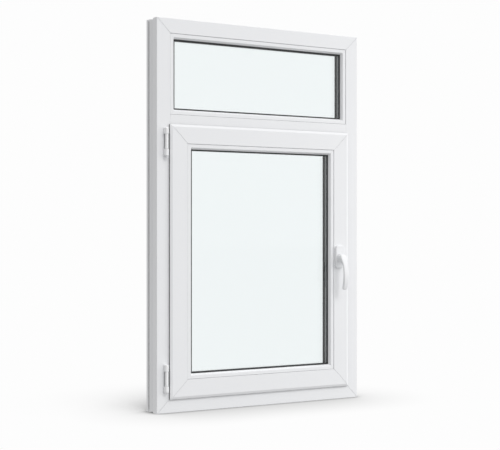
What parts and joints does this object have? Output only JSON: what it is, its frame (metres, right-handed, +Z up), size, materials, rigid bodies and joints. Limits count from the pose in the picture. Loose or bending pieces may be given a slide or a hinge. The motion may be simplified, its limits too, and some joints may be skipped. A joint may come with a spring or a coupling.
{
  "type": "pvc window with a fixed top light over a side-hung sash",
  "caption": "White PVC window: mitred frame, fixed double-glazed light over a transom, and a hinged sash below with a turning lever handle.",
  "frame": {"origin": "middle of the sill's underside, on the centre line of the room-side strip that the frame stands on", "axes": "+Z up, +X to the right seen from the room (hinges at -X, handle at +X), +Y out through the wall to the weather side"},
  "size_m": [0.8, 0.1434, 1.3],
  "materials": {
    "profile": "smooth white PVC, satin",
    "bead": "smooth white PVC, satin",
    "glass": "clear float glass",
    "gasket": "matte black",
    "spacer": "mill finish",
    "hinge_cover": "white cover caps, satin",
    "hinge_steel": "zinc plated, dull",
    "handle": "white powder coat, semi-gloss"
  },
  "bodies": {
    "window": {"frame_head": "profile", "frame_left_jamb": "profile", "frame_right_jamb": "profile", "frame_sill": "profile", "handle_rose": "handle", "lower_hinge_bracket": "hinge_cover", "lower_hinge_knuckle": "hinge_cover", "lower_hinge_leaf": "hinge_steel", "lower_hinge_pin": "hinge_steel", "overlap_seal": "gasket", "rebate_seal": "gasket", "sash_bead_bottom": "bead", "sash_bead_left": "bead", "sash_bead_right": "bead", "sash_bead_top": "bead", "sash_bottom_rail": "profile", "sash_inner_gasket": "gasket", "sash_inner_pane": "glass", "sash_left_stile": "profile", "sash_outer_gasket": "gasket", "sash_outer_pane": "glass", "sash_right_stile": "profile", "sash_spacer": "spacer", "sash_top_rail": "profile", "top_light_bead_bottom": "bead", "top_light_bead_left": "bead", "top_light_bead_right": "bead", "top_light_bead_top": "bead", "top_light_inner_gasket": "gasket", "top_light_inner_pane": "glass", "top_light_outer_gasket": "gasket", "top_light_outer_pane": "glass", "top_light_spacer": "spacer", "transom": "profile", "upper_hinge_bracket": "hinge_cover", "upper_hinge_knuckle": "hinge_cover", "upper_hinge_leaf": "hinge_steel", "upper_hinge_pin": "hinge_steel"},
    "handle": {"handle_lever": "handle"}
  },
  "joints": [
    {"name": "handle_turn", "type": "hinge", "parent": "window", "child": "handle", "pos_m": [0.311, -0.0255, 0.505], "axis": [0, 1, 0], "range_deg": [0, 180]}
  ]
}
